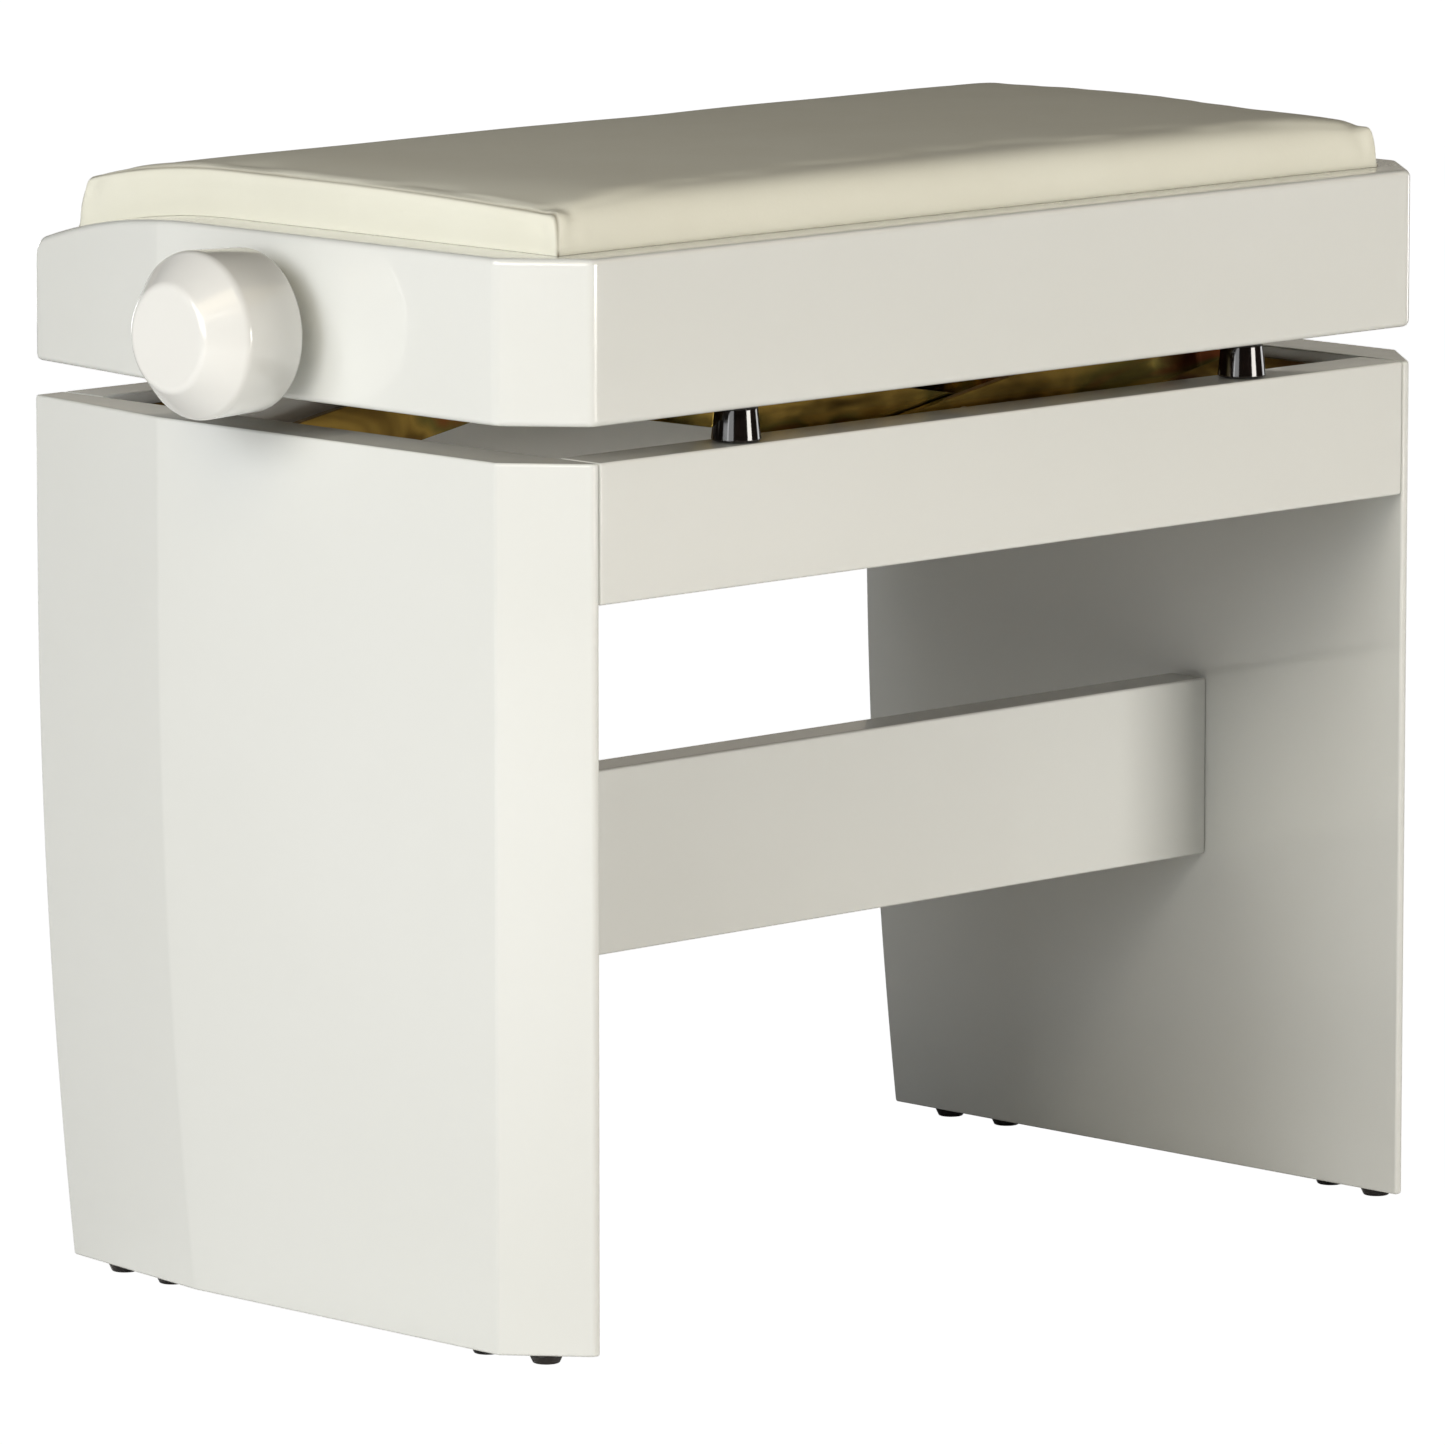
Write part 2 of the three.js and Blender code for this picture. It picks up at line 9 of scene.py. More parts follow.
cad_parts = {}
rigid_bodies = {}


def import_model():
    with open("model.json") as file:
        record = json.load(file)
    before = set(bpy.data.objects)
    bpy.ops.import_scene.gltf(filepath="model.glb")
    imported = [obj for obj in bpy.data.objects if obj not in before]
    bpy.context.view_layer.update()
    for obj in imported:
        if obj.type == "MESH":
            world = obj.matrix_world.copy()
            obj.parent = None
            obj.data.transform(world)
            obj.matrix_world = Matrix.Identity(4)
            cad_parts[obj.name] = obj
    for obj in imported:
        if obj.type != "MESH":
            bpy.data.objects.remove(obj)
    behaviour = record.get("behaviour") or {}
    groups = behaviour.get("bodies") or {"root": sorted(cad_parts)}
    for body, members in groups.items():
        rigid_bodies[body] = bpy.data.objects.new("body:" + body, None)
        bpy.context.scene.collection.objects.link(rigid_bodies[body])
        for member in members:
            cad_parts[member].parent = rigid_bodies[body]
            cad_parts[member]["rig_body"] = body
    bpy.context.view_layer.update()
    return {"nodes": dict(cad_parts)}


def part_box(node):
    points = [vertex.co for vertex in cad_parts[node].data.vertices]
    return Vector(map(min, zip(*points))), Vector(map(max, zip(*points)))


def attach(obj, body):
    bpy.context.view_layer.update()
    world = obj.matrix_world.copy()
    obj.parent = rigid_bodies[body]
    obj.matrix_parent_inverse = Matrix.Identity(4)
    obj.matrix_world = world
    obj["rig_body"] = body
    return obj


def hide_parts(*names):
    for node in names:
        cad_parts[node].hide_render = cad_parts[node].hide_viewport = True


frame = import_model()
scene = bpy.context.scene
MM = 0.001

# ---- Sizes taken from the frame ----
SEAT_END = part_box("seat_right_board")
SEAT_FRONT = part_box("seat_front_board")
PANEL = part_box("right_side_panel")
HALF_LENGTH = SEAT_END[1].x
HALF_DEPTH = SEAT_END[1].y
INNER_X = SEAT_END[0].x
SEAT_BOTTOM = SEAT_END[0].z
SEAT_TOP = SEAT_END[1].z
PANEL_BOTTOM = PANEL[0].z
PANEL_TOP = PANEL[1].z
BOARD_Y = HALF_DEPTH - (SEAT_FRONT[1].y - SEAT_FRONT[0].y)
SPINDLE_Z = (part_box("spindle")[0].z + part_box("spindle")[1].z) / 2

# ---- Sizes of the finish that the frame doesn't hold ----
BEVEL_X = 25.55 * MM          # the bevel at an end's front corner: along the bench
BEVEL_Y = 30.6 * MM           # and front to back
FACET_X = 13.55 * MM          # how far an end's rear facet comes in
FACET_Y = 71.6 * MM           # where it starts
REAR_CURVE_TOP = PANEL_BOTTOM + 290 * MM     # a side panel's rear edge runs in below this
REAR_CURVE = 4.2              # metres: height squared over the run-in
DROP_START = 50 * MM          # the seat frame's top drops behind this
DROP_CURVE = 0.758            # metres: depth squared over the drop
BOARD_EDGE = 1.2 * MM         # rounding of the side panels' and aprons' edges
SEAT_EDGE = 2.8 * MM          # and of the seat frame's
REAR_ROLL = 7 * MM            # radius of the seat frame's rear top edge
BORE_R = 10.3 * MM            # hole for a spindle bushing
TINY = 1e-6                   # positions closer than this are one
SIDES = (("left", -1), ("right", 1))


# ---- Materials ----
def material(name, roughness, metallic=0.0, **sockets):
    mat = bpy.data.materials.new(name)
    mat.use_nodes = True
    shader = mat.node_tree.nodes["Principled BSDF"]
    shader.inputs["Roughness"].default_value = roughness
    shader.inputs["Metallic"].default_value = metallic
    for socket, value in sockets.items():
        shader.inputs[socket.replace("_", " ")].default_value = value
    return mat


def texture(mat, kind, scale, stretch=(1, 1, 1), **settings):
    """A procedural texture in the piece's own coordinates, and the socket that carries it."""
    nodes, links = mat.node_tree.nodes, mat.node_tree.links
    place = nodes.get("Place") or nodes.new("ShaderNodeTexCoord")
    place.name = "Place"
    mapping = nodes.new("ShaderNodeMapping")
    mapping.inputs["Scale"].default_value = stretch
    links.new(place.outputs["Object"], mapping.inputs["Vector"])
    node = nodes.new(kind)
    node.inputs["Scale"].default_value = scale
    for name, value in settings.items():
        if name in node.inputs:
            node.inputs[name].default_value = value
        else:
            setattr(node, name, value)
    links.new(mapping.outputs["Vector"], node.inputs["Vector"])
    return node.outputs["Fac"] if "Fac" in node.outputs else node.outputs[0]


def ramp(mat, source, stops):
    nodes, links = mat.node_tree.nodes, mat.node_tree.links
    node = nodes.new("ShaderNodeValToRGB")
    elements = node.color_ramp.elements
    while len(elements) < len(stops):
        elements.new(0.5)
    for element, (position, colour) in zip(elements, stops):
        element.position = position
        element.color = (*colour, 1)
    links.new(source, node.inputs["Fac"])
    return node.outputs["Color"]


def spread(mat, source, low, high):
    """The texture's 0 to 1 as a range of plain values."""
    node = mat.node_tree.nodes.new("ShaderNodeMapRange")
    node.inputs["To Min"].default_value = low
    node.inputs["To Max"].default_value = high
    mat.node_tree.links.new(source, node.inputs["Value"])
    return node.outputs["Result"]


def drive(mat, socket, source):
    shader = mat.node_tree.nodes["Principled BSDF"]
    mat.node_tree.links.new(source, shader.inputs[socket])


def bump(mat, source, distance, strength=1.0):
    node = mat.node_tree.nodes.new("ShaderNodeBump")
    node.inputs["Distance"].default_value = distance
    node.inputs["Strength"].default_value = strength
    mat.node_tree.links.new(source, node.inputs["Height"])
    drive(mat, "Normal", node.outputs["Normal"])
    return node


def white_lacquer():
    """Sprayed gloss lacquer, with a faint orange peel."""
    mat = material("white_lacquer", 0.14, Coat_Weight=0.7, Coat_Roughness=0.04)
    tone = texture(mat, "ShaderNodeTexNoise", 5, Detail=3.0)
    drive(mat, "Base Color", ramp(mat, tone, [(0.3, (0.80, 0.815, 0.785)), (0.7, (0.82, 0.835, 0.81))]))
    drive(mat, "Roughness", spread(mat, texture(mat, "ShaderNodeTexNoise", 60, Detail=4.0), 0.10, 0.2))
    bump(mat, texture(mat, "ShaderNodeTexNoise", 260, Detail=2.0), 0.03 * MM, 0.25)
    return mat


def knob_lacquer():
    mat = material("white_knob", 0.16, Coat_Weight=0.5, Coat_Roughness=0.12)
    tone = texture(mat, "ShaderNodeTexNoise", 9, Detail=2.0)
    drive(mat, "Base Color", ramp(mat, tone, [(0.3, (0.83, 0.83, 0.80)), (0.7, (0.86, 0.86, 0.83))]))
    bump(mat, texture(mat, "ShaderNodeTexNoise", 320, Detail=2.0), 0.02 * MM, 0.2)
    return mat


def leatherette():
    """Cream leatherette with a fine pebble grain, and painted shade darkening it along the seams."""
    mat = material("cream_leatherette", 0.45, Specular_IOR_Level=0.13, Sheen_Weight=0.03)
    tone = texture(mat, "ShaderNodeTexNoise", 14, Detail=5.0)
    leather = ramp(mat, tone, [(0.3, (0.817, 0.81, 0.70)), (0.7, (0.847, 0.845, 0.74))])
    nodes, links = mat.node_tree.nodes, mat.node_tree.links
    # Painted shade: the seam attribute mixes a dark colour in along the seam grooves, standing for their
    # shadow.
    seam = nodes.new("ShaderNodeAttribute")
    seam.attribute_name = "seam"
    shade = nodes.new("ShaderNodeMix")
    shade.data_type = "RGBA"
    links.new(seam.outputs["Fac"], shade.inputs["Factor"])
    links.new(leather, shade.inputs["A"])
    shade.inputs["B"].default_value = (0.16, 0.13, 0.08, 1)
    drive(mat, "Base Color", shade.outputs["Result"])
    drive(mat, "Roughness", spread(mat, texture(mat, "ShaderNodeTexNoise", 90, Detail=4.0), 0.36, 0.52))
    grain = texture(mat, "ShaderNodeTexVoronoi", 900, feature="SMOOTH_F1")
    bump(mat, grain, 0.08 * MM, 0.35)
    return mat


def yellow_zinc():
    """Chromated zinc: a dark film whose colour drifts from olive through gold to red-brown."""
    mat = material("yellow_zinc", 0.2, metallic=1.0)
    film = texture(mat, "ShaderNodeTexNoise", 13, stretch=(0.6, 0.6, 1.6), Detail=3.0, Distortion=1.6)
    colour = ramp(mat, film, [
        (0.32, (0.060, 0.024, 0.010)), (0.43, (0.17, 0.105, 0.024)), (0.50, (0.40, 0.26, 0.060)),
        (0.57, (0.19, 0.155, 0.040)), (0.66, (0.26, 0.075, 0.026))])
    drive(mat, "Base Color", colour)
    drive(mat, "Roughness", spread(mat, texture(mat, "ShaderNodeTexNoise", 120, Detail=5.0), 0.12, 0.28))
    bump(mat, texture(mat, "ShaderNodeTexNoise", 30, Detail=3.0), 0.25 * MM, 0.5)
    return mat


def turned_metal(name, dark, light, roughness):
    mat = material(name, roughness, metallic=1.0)
    lines = texture(mat, "ShaderNodeTexNoise", 40, stretch=(12, 12, 12), Detail=5.0)
    drive(mat, "Base Color", ramp(mat, lines, [(0.3, dark), (0.7, light)]))
    drive(mat, "Roughness", spread(mat, lines, roughness * 0.7, roughness * 1.4))
    bump(mat, lines, 0.02 * MM, 0.3)
    return mat


def black_rubber():
    mat = material("black_rubber", 0.1, Coat_Weight=0.25, Coat_Roughness=0.04)
    tone = texture(mat, "ShaderNodeTexNoise", 200, Detail=3.0)
    drive(mat, "Base Color", ramp(mat, tone, [(0.3, (0.006, 0.004, 0.003)), (0.7, (0.011, 0.007, 0.006))]))
    bump(mat, texture(mat, "ShaderNodeTexNoise", 900, Detail=2.0), 0.03 * MM, 0.2)
    return mat


def plywood():
    mat = material("plywood", 0.6)
    grain = texture(mat, "ShaderNodeTexNoise", 18, stretch=(0.35, 6, 6), Detail=8.0, Distortion=0.6)
    drive(mat, "Base Color", ramp(mat, grain, [
        (0.3, (0.42, 0.28, 0.15)), (0.5, (0.56, 0.40, 0.24)), (0.7, (0.64, 0.48, 0.30))]))
    bump(mat, grain, 0.1 * MM, 0.4)
    return mat


# The finishes, by the name that a piece asks for
MATERIALS = {
    "white_lacquer": white_lacquer(),
    "white_knob": knob_lacquer(),
    "cream_leatherette": leatherette(),
    "yellow_zinc": yellow_zinc(),
    "bright_steel": turned_metal("bright_steel", (0.42, 0.42, 0.42), (0.58, 0.58, 0.57), 0.28),
    "brass": turned_metal("brass", (0.50, 0.36, 0.14), (0.66, 0.50, 0.22), 0.26),
    "black_rubber": black_rubber(),
    "plywood": plywood(),
}


# ---- Making pieces ----
def bake(obj):
    """Applies an object's modifiers to its mesh."""
    graph = bpy.context.evaluated_depsgraph_get()
    made = bpy.data.meshes.new_from_object(obj.evaluated_get(graph))
    obj.modifiers.clear()
    obj.data = made


def piece(name, bm, slot, body, replaced=(), sharp=40, weigh=True):
    """A finished piece from a bmesh, riding on a body and standing for CAD nodes."""
    bmesh.ops.recalc_face_normals(bm, faces=bm.faces)
    mesh = bpy.data.meshes.new(name)
    bm.to_mesh(mesh)
    bm.free()
    if "custom_normal" in mesh.attributes:
        mesh.attributes.remove(mesh.attributes["custom_normal"])
    obj = bpy.data.objects.new(name, mesh)
    scene.collection.objects.link(obj)
    mesh.materials.clear()
    mesh.materials.append(MATERIALS[slot])
    for face in mesh.polygons:
        face.use_smooth = True
    mesh.set_sharp_from_angle(angle=math.radians(sharp))
    if weigh:
        weights = obj.modifiers.new("Weights", "WEIGHTED_NORMAL")
        weights.keep_sharp = True
    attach(obj, body)
    if replaced:
        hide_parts(*replaced)
    return obj


def body_of(node):
    return frame["nodes"][node]["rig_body"]


def round_edges(bm, radius, angle=25, segments=3, clamp=True):
    """Rounds the edges that turn by more than the angle, less where clamping finds them too close."""
    bmesh.ops.recalc_face_normals(bm, faces=bm.faces)
    edges = [e for e in bm.edges if len(e.link_faces) == 2
             and math.degrees(abs(e.calc_face_angle_signed(0))) > angle]
    bmesh.ops.bevel(bm, geom=edges, offset=radius, segments=segments, profile=0.5,
                    affect="EDGES", clamp_overlap=clamp)


def loft(sections):
    """A closed skin over sections of equal point count."""
    bm = bmesh.new()
    rings = [[bm.verts.new(p) for p in section] for section in sections]
    count = len(rings[0])
    for low, high in zip(rings, rings[1:]):
        for i in range(count):
            j = (i + 1) % count
            bm.faces.new((low[i], low[j], high[j], high[i]))
    bm.faces.new(rings[0][::-1])
    bm.faces.new(rings[-1])
    return bm


def on_axis(axis, radial, along, angle):
    """A point at a radius and an angle round an axis."""
    u, v = radial * math.cos(angle), radial * math.sin(angle)
    return {"x": Vector((along, u, v)), "y": Vector((v, along, u)),
            "z": Vector((u, v, along))}[axis]


def fillet(points, radius, steps=4):
    """An open outline with its inner corners rounded."""
    rounded = [Vector(points[0])]
    for before, corner, after in zip(points, points[1:], points[2:]):
        corner = Vector(corner)
        into, out = Vector(before) - corner, Vector(after) - corner
        reach = min(radius, into.length * 0.45, out.length * 0.45)
        start, end = corner + into.normalized() * reach, corner + out.normalized() * reach
        for i in range(steps + 1):
            t = i / steps
            rounded.append(start.lerp(corner, t).lerp(corner.lerp(end, t), t))
    rounded.append(Vector(points[-1]))
    return rounded


def turned(profile, axis, centre, radius=0.5 * MM, segments=64, direction=1):
    """A solid of revolution. The profile is (radius, distance), and closes on the axis or on itself."""
    centre = Vector(centre)
    bm = bmesh.new()
    rings = []
    for r, along in fillet(profile, radius):
        count = 1 if r < 1e-7 else segments
        rings.append([bm.verts.new(centre + on_axis(axis, r, direction * along, 2 * math.pi * i / segments))
                      for i in range(count)])
    pairs = list(zip(rings, rings[1:]))
    if len(rings[0]) > 1 and len(rings[-1]) > 1:
        pairs.append((rings[-1], rings[0]))
    for low, high in pairs:
        if len(low) == len(high) == 1:
            continue
        for i in range(segments):
            j = (i + 1) % segments
            corners = [low[i % len(low)], low[j % len(low)], high[j % len(high)], high[i % len(high)]]
            bm.faces.new(list(dict.fromkeys(corners)))
    return bm


def refined(node, slot, radius=0.5 * MM):
    """A CAD node's own shape, welded, with its hard edges rounded."""
    bm = bmesh.new()
    bm.from_mesh(frame["nodes"][node].data)
    bmesh.ops.remove_doubles(bm, verts=bm.verts, dist=0.01 * MM)
    bmesh.ops.dissolve_limit(bm, angle_limit=math.radians(0.3), verts=bm.verts, edges=bm.edges)
    round_edges(bm, radius, angle=45, segments=2)
    return piece(f"{node}_plate", bm, slot, body_of(node), [node], sharp=35)


def middle_of(node):
    low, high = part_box(node)
    return (low + high) / 2


# ---- Lacquered boards ----
def end_plan(sign, inset=0.0):
    """Plan of a side panel, run in at the back."""
    back = HALF_DEPTH - inset
    plan = [
        (INNER_X, -HALF_DEPTH),
        (HALF_LENGTH - BEVEL_X, -HALF_DEPTH),
        (HALF_LENGTH, -HALF_DEPTH + BEVEL_Y),
        (HALF_LENGTH, FACET_Y - inset),
        (HALF_LENGTH - FACET_X, back),
        (INNER_X, back),
    ]
    return [(sign * x, y) for x, y in plan]


def side_panels():
    steps = 28
    heights = [PANEL_BOTTOM + (REAR_CURVE_TOP - PANEL_BOTTOM) * i / steps for i in range(steps + 1)]
    heights.append(PANEL_TOP)
    for side, sign in SIDES:
        sections = []
        for z in heights:
            inset = max(0.0, REAR_CURVE_TOP - z) ** 2 / REAR_CURVE
            sections.append([(x, y, z) for x, y in end_plan(sign, inset)])
        bm = loft(sections)
        round_edges(bm, BOARD_EDGE, angle=6)
        piece(f"{side}_panel", bm, "white_lacquer", "base", [f"{side}_side_panel"])


def aprons_and_stretcher():
    for name in ("front_apron", "rear_apron", "stretcher"):
        low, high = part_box(name)
        corners = [(low.x, low.y), (high.x, low.y), (high.x, high.y), (low.x, high.y)]
        bm = loft([[(x, y, z) for x, y in corners] for z in (low.z, high.z)])
        round_edges(bm, BOARD_EDGE)
        piece(f"{name}_board", bm, "white_lacquer", "base", [name])


def seat_top(y):
    return SEAT_TOP - max(0.0, y - DROP_START) ** 2 / DROP_CURVE


def seat_outside(y):
    """Half the seat frame's length at y."""
    if y < -HALF_DEPTH + BEVEL_Y:
        return HALF_LENGTH - BEVEL_X * (-HALF_DEPTH + BEVEL_Y - y) / BEVEL_Y
    if y > FACET_Y:
        return HALF_LENGTH - FACET_X * (y - FACET_Y) / (HALF_DEPTH - FACET_Y)
    return HALF_LENGTH


def seat_frame():
    """The four seat boards under one lacquer: an open ring whose top rolls down at the back."""
    drop_steps, roll_steps = 16, 8
    roll_start = HALF_DEPTH - REAR_ROLL
    ys = {-HALF_DEPTH, -HALF_DEPTH + BEVEL_Y, -BOARD_Y, BOARD_Y, DROP_START, FACET_Y, roll_start}
    ys |= {DROP_START + (roll_start - DROP_START) * i / drop_steps for i in range(1, drop_steps)}
    tops = [(y, seat_top(y)) for y in sorted(ys)]
    for i in range(1, roll_steps + 1):
        turn = math.pi / 2 * i / roll_steps
        y = roll_start + REAR_ROLL * math.sin(turn)
        tops.append((y, seat_top(y) - REAR_ROLL * (1 - math.cos(turn))))
    bm = bmesh.new()
    grid = {}
    for level in ("top", "bottom"):
        for j, (y, top) in enumerate(tops):
            xs = (-seat_outside(y), -INNER_X, INNER_X, seat_outside(y))
            for c, x in enumerate(xs):
                grid[level, j, c] = bm.verts.new((x, y, top if level == "top" else SEAT_BOTTOM))
    for level in ("top", "bottom"):
        for j in range(len(tops) - 1):
            open_row = -BOARD_Y < (tops[j][0] + tops[j + 1][0]) / 2 < BOARD_Y
            for c in range(3):
                if not (c == 1 and open_row):
                    bm.faces.new([grid[level, j, c], grid[level, j, c + 1],
                                  grid[level, j + 1, c + 1], grid[level, j + 1, c]])
    key = {v: k for k, v in grid.items()}
    for edge in [e for e in bm.edges if len(e.link_faces) == 1]:
        a, b = edge.verts
        if key[a][0] == "top":
            bm.faces.new([a, b, grid["bottom", *key[b][1:]], grid["bottom", *key[a][1:]]])
    under_roll = [e for e in bm.edges
                  if all(roll_start + TINY < v.co.y < HALF_DEPTH - TINY for v in e.verts)
                  and abs(e.verts[0].co.y - e.verts[1].co.y) < TINY
                  and min(v.co.z for v in e.verts) < SEAT_BOTTOM + TINY]
    bmesh.ops.dissolve_edges(bm, edges=under_roll, use_verts=True)
    round_edges(bm, SEAT_EDGE, angle=20, segments=4, clamp=False)
    ring = piece("seat_frame", bm, "white_lacquer", "seat",
                 ["seat_front_board", "seat_rear_board", "seat_left_board", "seat_right_board"])
    past_end = HALF_LENGTH + 10 * MM
    bore = turned([(0, -past_end), (BORE_R, -past_end), (BORE_R, past_end), (0, past_end)],
                  "x", (0, 0, SPINDLE_Z))
    cut_away(ring, bore)


def cut_away(obj, bm):
    """Cuts a closed bmesh out of a piece."""
    mesh = bpy.data.meshes.new("cutter")
    bmesh.ops.recalc_face_normals(bm, faces=bm.faces)
    bm.to_mesh(mesh)
    bm.free()
    cutter = bpy.data.objects.new("cutter", mesh)
    scene.collection.objects.link(cutter)
    modifier = obj.modifiers.new("Cut", "BOOLEAN")
    modifier.operation = "DIFFERENCE"
    modifier.solver = "EXACT"
    modifier.object = cutter
    obj.modifiers.move(len(obj.modifiers) - 1, 0)
    bake(obj)
    bpy.data.objects.remove(cutter)


# ---- Turned pieces ----
GLIDE_R = 7 * MM
GLIDE_FOOT_R = 5.5 * MM
GLIDE_RIM = 0.5 * MM            # height of a glide's straight rim
BUFFER_FOOT_R = 10.5 * MM
BUFFER_TOP_R = 9 * MM
KNOB_BORE = (6.4 * MM, 47 * MM)      # radius and far end of the hole for the spindle
KNOB_HUB = (13 * MM, 3 * MM)         # radius and where the hub starts
KNOB_BACK = (34.1 * MM, 13 * MM)
KNOB_CREASE = (35 * MM, 43.5 * MM)   # where the side meets the cone
KNOB_FACE_R = 22 * MM
BEARING_BORE = 6.35 * MM


def glides_and_buffers():
    for side, _ in SIDES:
        for i in range(1, 5):
            name = f"glide_{side}_{i}"
            low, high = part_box(name)
            height = high.z - low.z
            profile = [(0, 0), (GLIDE_FOOT_R, 0), (GLIDE_R, height - GLIDE_RIM), (GLIDE_R, height),
                       (0, height)]
            middle = middle_of(name)
            bm = turned(profile, "z", (middle.x, middle.y, low.z), segments=48)
            piece(f"{name}_pad", bm, "black_rubber", "base", [name])
        for end in ("front", "rear"):
            name = f"stop_buffer_{side}_{end}"
            low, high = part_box(name)
            height = high.z - low.z
            profile = [(0, 0), (BUFFER_FOOT_R, 0), (BUFFER_TOP_R, height), (0, height)]
            middle = middle_of(name)
            bm = turned(profile, "z", (middle.x, middle.y, low.z), radius=1 * MM, segments=80)
            piece(f"{name}_rubber", bm, "black_rubber", "base", [name])


def knobs():
    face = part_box("knob_right")[1].x - HALF_LENGTH
    profile = [(0, KNOB_BORE[1]), KNOB_BORE, (KNOB_BORE[0], KNOB_HUB[1]), KNOB_HUB,
               (KNOB_HUB[0], KNOB_BACK[1]), KNOB_BACK, KNOB_CREASE, (KNOB_FACE_R, face), (0, face)]
    for side, sign in SIDES:
        bm = turned(profile, "x", (sign * HALF_LENGTH, 0, SPINDLE_Z), radius=2.2 * MM,
                    segments=144, direction=sign)
        piece(f"knob_{side}_turned", bm, "white_knob", "spindle", [f"knob_{side}"])


def spindle():
    """A trapezoidal thread between two plain ends."""
    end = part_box("spindle")[1].x
    plain, pitch = 222 * MM, 3 * MM         # where the thread ends, and its pitch
    outer, root, chamfer = 6 * MM, 4.7 * MM, 0.8 * MM
    segments = 28
    turns = round(2 * plain / pitch)
    bm = bmesh.new()
    rings = []

    def ring(distances, radius):
        row = []
        for i, x in enumerate(distances):
            angle = 2 * math.pi * i / segments
            row.append(bm.verts.new((x, radius * math.cos(angle), SPINDLE_Z + radius * math.sin(angle))))
        rings.append(row)

    ring([-end] * segments, outer - chamfer)
    ring([-end + chamfer] * segments, outer)
    ring([-plain - pitch] * segments, outer)
    for turn in range(turns):
        for share, radius in ((0.0, outer), (0.32, outer), (0.45, root), (0.87, root)):
            ring([-plain + pitch * (turn + share + i / segments - 0.5) for i in range(segments)], radius)
    ring([plain + pitch] * segments, outer)
    ring([end - chamfer] * segments, outer)
    ring([end] * segments, outer - chamfer)
    for first, second in zip(rings, rings[1:]):
        for i in range(segments):
            j = (i + 1) % segments
            bm.faces.new((first[i], first[j], second[j], second[i]))
    bm.faces.new(rings[0][::-1])
    bm.faces.new(rings[-1])
    piece("spindle_threaded", bm, "bright_steel", "spindle", ["spindle"], sharp=30, weigh=False)


def bearings():
    """Bushings, collars and nut: turned rings round the spindle."""
    bore = BEARING_BORE
    sleeve, flange, ring_r = 10 * MM, 15 * MM, 11 * MM
    centre = (0, 0, SPINDLE_Z)
    inner, under, face = INNER_X + 1 * MM, HALF_LENGTH + 0.3 * MM, HALF_LENGTH + 2 * MM
    for side, sign in SIDES:
        bm = turned([(bore, inner), (sleeve, inner), (sleeve, under), (flange, under), (flange, face),
                     (bore, face)], "x", centre, radius=0.4 * MM, direction=sign)
        piece(f"spindle_bushing_{side}_turned", bm, "brass", "seat", [f"spindle_bushing_{side}"])
        name = f"spindle_collar_{side}"
        low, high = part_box(name)
        near, far = min(abs(low.x), abs(high.x)), max(abs(low.x), abs(high.x))
        bm = turned([(bore, near), (ring_r, near), (ring_r, far), (bore, far)],
                    "x", centre, radius=0.8 * MM, direction=sign)
        piece(f"{name}_turned", bm, "bright_steel", "spindle", [name])
    low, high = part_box("drive_nut")
    step = high.x - 6 * MM
    bm = turned([(bore, low.x), (ring_r, low.x), (ring_r, step), (flange, step), (flange, high.x),
                 (bore, high.x)], "x", centre, radius=0.8 * MM)
    piece("drive_nut_turned", bm, "brass", "drive", ["drive_nut"])


ROD_R = 5 * MM
ROD_COLLARS = (122 * MM, 128 * MM, 134 * MM)      # middles of the places between the plates


def rod_collar(middle, rise):
    """The outline of a narrow collar on a rod."""
    near, far = middle - 0.6 * MM, middle + 0.6 * MM
    return [(ROD_R, near), (ROD_R + rise, near), (ROD_R + rise, far), (ROD_R, far)]


def rods():
    """Cross rods with a turned collar against each arm."""
    inner, between, outer = ROD_COLLARS
    for name in ("lower_pivot_rod", "upper_pivot_rod", "lower_slide_rod", "upper_slide_rod"):
        middle, end = middle_of(name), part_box(name)[1].y
        half = rod_collar(between, 2 * MM)
        if name in ("lower_pivot_rod", "upper_slide_rod"):
            half = half + rod_collar(outer, 2.5 * MM)
        else:
            half = rod_collar(inner, 2.5 * MM) + half
        half += [(ROD_R, end - 0.8 * MM), (ROD_R - 0.8 * MM, end), (0, end)]
        profile = [(a, -b) for a, b in reversed(half)] + half
        bm = turned(profile, "y", (middle.x, 0, middle.z), radius=0.25 * MM, segments=40)
        piece(f"{name}_turned", bm, "bright_steel", body_of(name), [name])
    middle, end = middle_of("centre_rod"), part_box("centre_rod")[1].y
    head, head_r = end - 2.4 * MM, 8 * MM
    half = rod_collar(between, 2 * MM)
    half += [(ROD_R, head), (head_r, head), (head_r, head + 1.1 * MM), (ROD_R, end - 0.2 * MM), (0, end)]
    profile = [(a, -b) for a, b in reversed(half)] + half
    bm = turned(profile, "y", (middle.x, 0, middle.z), radius=0.5 * MM, segments=40)
    piece("centre_rod_turned", bm, "bright_steel", body_of("centre_rod"), ["centre_rod"])


